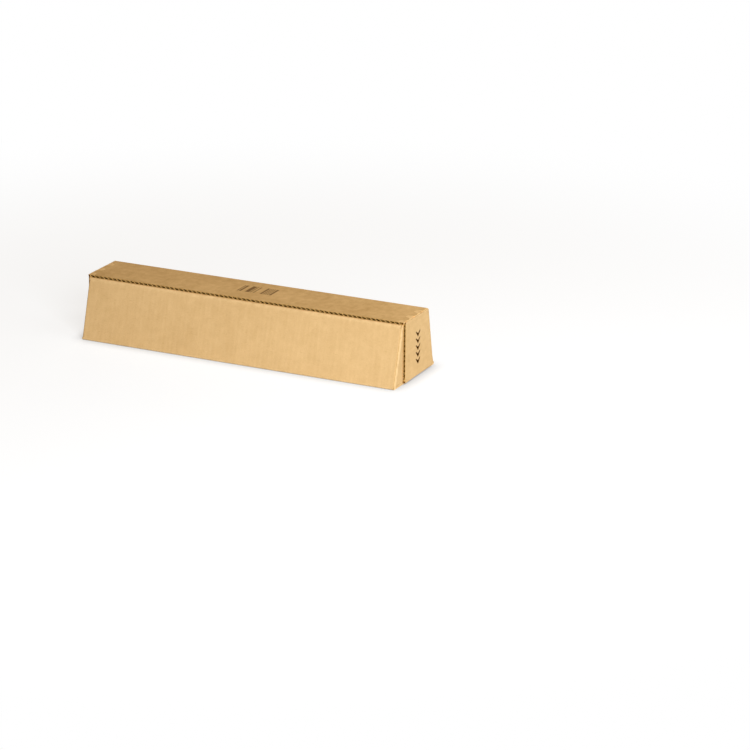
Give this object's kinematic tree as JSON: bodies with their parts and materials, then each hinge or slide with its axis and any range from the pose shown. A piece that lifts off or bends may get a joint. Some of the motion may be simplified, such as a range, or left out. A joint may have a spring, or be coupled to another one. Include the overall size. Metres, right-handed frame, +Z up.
{
  "type": "trapezoid mailing box",
  "caption": "Long corrugated-board mailing box with a trapezoid section, a hinged narrow lid and fold-down end flaps, for rolled or flat documents.",
  "frame": {"origin": "on the surface the box stands on, under the middle of its base", "axes": "+X along the box to its right end, +Y from the front wall to the rear wall that carries the lid, +Z up"},
  "size_m": [0.447, 0.1128, 0.08],
  "materials": {
    "board": "uncoated brown kraft liner"
  },
  "bodies": {
    "tray": {"base_panel": "board", "front_wall": "board", "rear_wall": "board"},
    "lid": {"lid": "board"},
    "left_end_flap": {"left_end_flap": "board"},
    "right_end_flap": {"right_end_flap": "board"}
  },
  "joints": [
    {"name": "lid_hinge", "type": "hinge", "parent": "tray", "child": "lid", "pos_m": [0, 0.03323, 0.07964], "axis": [-1, 0, 0], "range_deg": [0, 180]},
    {"name": "left_flap_hinge", "type": "hinge", "parent": "lid", "child": "left_end_flap", "pos_m": [-0.22306, 0, 0.07956], "axis": [0, 1, 0], "range_deg": [0, 120]},
    {"name": "right_flap_hinge", "type": "hinge", "parent": "lid", "child": "right_end_flap", "pos_m": [0.22306, 0, 0.07956], "axis": [0, -1, 0], "range_deg": [0, 120]}
  ]
}
